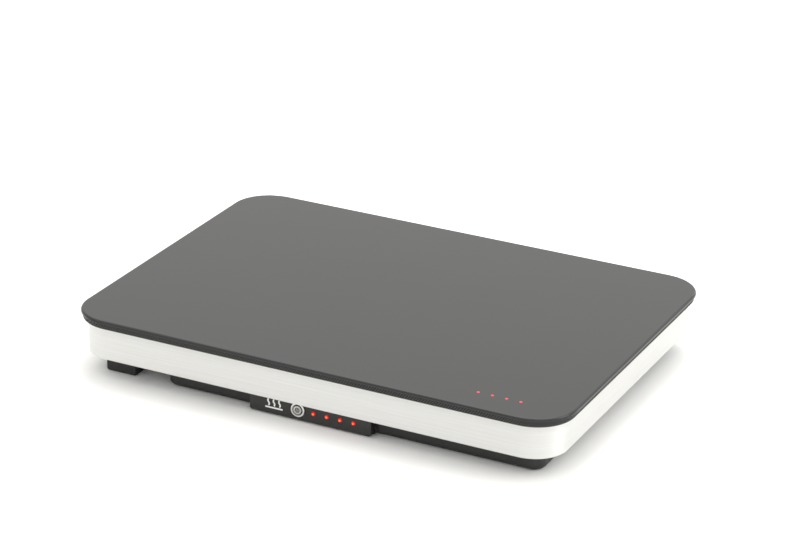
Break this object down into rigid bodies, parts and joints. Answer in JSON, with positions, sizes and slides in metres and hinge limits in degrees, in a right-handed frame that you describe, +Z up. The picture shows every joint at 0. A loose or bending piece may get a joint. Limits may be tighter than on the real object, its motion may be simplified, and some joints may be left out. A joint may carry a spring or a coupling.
{
  "type": "induction hob",
  "caption": "Low rectangular counter-top induction hob: black glass plate on a brushed steel skirt, with a black tub, control box and feet below.",
  "frame": {"origin": "on the surface the hob stands on, under the middle of the glass plate", "axes": "+X to the right along the front, +Y from the front to the back, +Z up"},
  "size_m": [0.62, 0.4534, 0.0776],
  "materials": {
    "black_glass": "black glass-ceramic, fire polished",
    "silicone": "black silicone",
    "black_nylon": "moulded black nylon, fine ribbed edge",
    "brushed_steel": "stainless, horizontal satin grain",
    "zinc_steel": "galvanised steel sheet",
    "black_screws": "black zinc",
    "zinc_fasteners": "bright zinc",
    "black_abs": "moulded ABS, fine spark texture",
    "black_rubber": "moulded rubber",
    "white_print": "white pad print",
    "red_lamp": "lit red resin",
    "circuit_board": "green solder mask",
    "switch_steel": "turned stainless",
    "spring_steel": "drawn spring wire",
    "switch_plastic": "glass filled thermoplastic",
    "white_nylon": "natural nylon",
    "aluminium_sheet": "mill finish",
    "litz_copper": "enamelled copper litz",
    "carrier_plastic": "phenolic moulding",
    "ferrite": "sintered ferrite",
    "mica": "mica paper",
    "sensor_ceramic": "alumina",
    "extruded_aluminium": "extruded, as drawn",
    "capacitor_plastic": "moulded box",
    "flat_cable": "grey ribbed cable",
    "blower_plastic": "moulded",
    "rotor_plastic": "moulded",
    "motor_steel": "laminated steel",
    "wire_sleeve": "PVC",
    "gland_nylon": "moulded nylon"
  },
  "bodies": {
    "hob": {"badge_mark": "white_print", "base_pan": "zinc_steel", "base_screws": "black_screws", "blower_cover": "blower_plastic", "blower_housing": "blower_plastic", "blower_lead": "wire_sleeve", "blower_motor": "motor_steel", "blower_screws": "zinc_fasteners", "board_screws": "zinc_fasteners", "coil_bumpers": "silicone", "coil_carrier_left": "carrier_plastic", "coil_carrier_right": "carrier_plastic", "coil_deck": "aluminium_sheet", "coil_left": "litz_copper", "coil_right": "litz_copper", "control_board": "circuit_board", "control_box": "black_abs", "control_box_screws": "zinc_fasteners", "control_cable": "flat_cable", "deck_nuts": "zinc_fasteners", "deck_standoffs": "zinc_fasteners", "electronics_tub": "black_abs", "ferrites_left": "ferrite", "ferrites_right": "ferrite", "filter_capacitors": "capacitor_plastic", "filter_choke": "ferrite", "foot_front_left": "black_rubber", "foot_nuts": "zinc_fasteners", "foot_rear_left": "black_rubber", "foot_screws": "zinc_fasteners", "gland_body": "gland_nylon", "gland_dome_nut": "gland_nylon", "gland_lock_nut": "gland_nylon", "glass_seal": "silicone", "glass_top": "black_glass", "heat_sink": "extruded_aluminium", "indicator_lamps": "red_lamp", "mica_left": "mica", "mica_right": "mica", "power_board": "circuit_board", "power_transistors": "switch_plastic", "rectifier": "switch_plastic", "resonant_capacitors": "capacitor_plastic", "skirt": "brushed_steel", "skirt_screws": "zinc_fasteners", "switch_bush": "switch_steel", "switch_contacts": "switch_plastic", "switch_nut": "switch_steel", "switch_seal": "silicone", "switch_spring": "spring_steel", "temperature_sensors": "sensor_ceramic", "terminal_block": "switch_plastic", "top_frame": "black_nylon", "tub_pads": "silicone", "tub_screws": "black_screws", "zone_lamp_board": "circuit_board", "zone_lamp_bridge": "white_nylon", "zone_lamps": "red_lamp"},
    "button": {"power_button": "switch_steel"},
    "blower_wheel": {"blower_rotor": "rotor_plastic"}
  },
  "joints": [
    {"name": "button_press", "type": "slide", "parent": "hob", "child": "button", "axis": [0, 1, 0], "range_m": [0, 0.0015], "stiffness_N_per_m": 1500, "springref_m": -0.0006, "deforming": ["switch_spring"]},
    {"name": "blower_spin", "type": "hinge", "parent": "hob", "child": "blower_wheel", "pos_m": [-0.2507, 0, 0.038], "axis": [0, 0, 1], "continuous": true}
  ]
}
